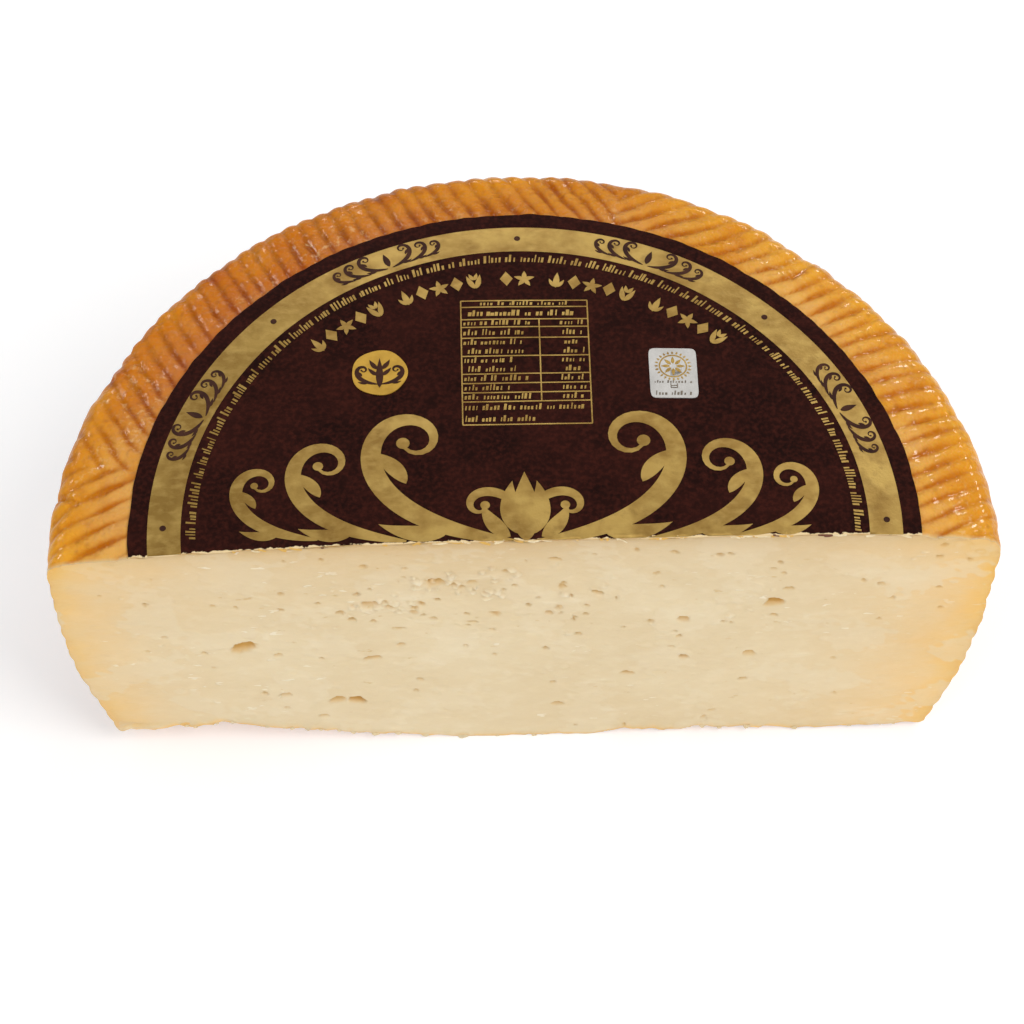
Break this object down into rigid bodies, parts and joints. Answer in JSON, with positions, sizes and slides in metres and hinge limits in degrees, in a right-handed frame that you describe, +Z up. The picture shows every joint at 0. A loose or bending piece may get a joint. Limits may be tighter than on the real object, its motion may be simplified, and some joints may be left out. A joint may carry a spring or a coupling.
{
  "type": "half cheese wheel",
  "caption": "Half of a ripened hard cheese wheel with a ribbed rind, a flat cut face and a round paper label on top.",
  "frame": {"origin": "middle of the bounding box at the base that the cheese stands on", "axes": "+Z up, -Y out of the cut face, +X to the right when looking at the cut face"},
  "size_m": [0.218, 0.112, 0.0899],
  "materials": {
    "cheese": null,
    "label_paper": "dark brown printed paper with satin gold ink",
    "gold_foil": "satin gold foil sticker",
    "silver_foil": "satin silver-white foil sticker"
  },
  "bodies": {
    "root": {"cheese": "cheese", "label": "label_paper", "gold_seal": "gold_foil", "silver_sticker": "silver_foil"}
  },
  "joints": []
}
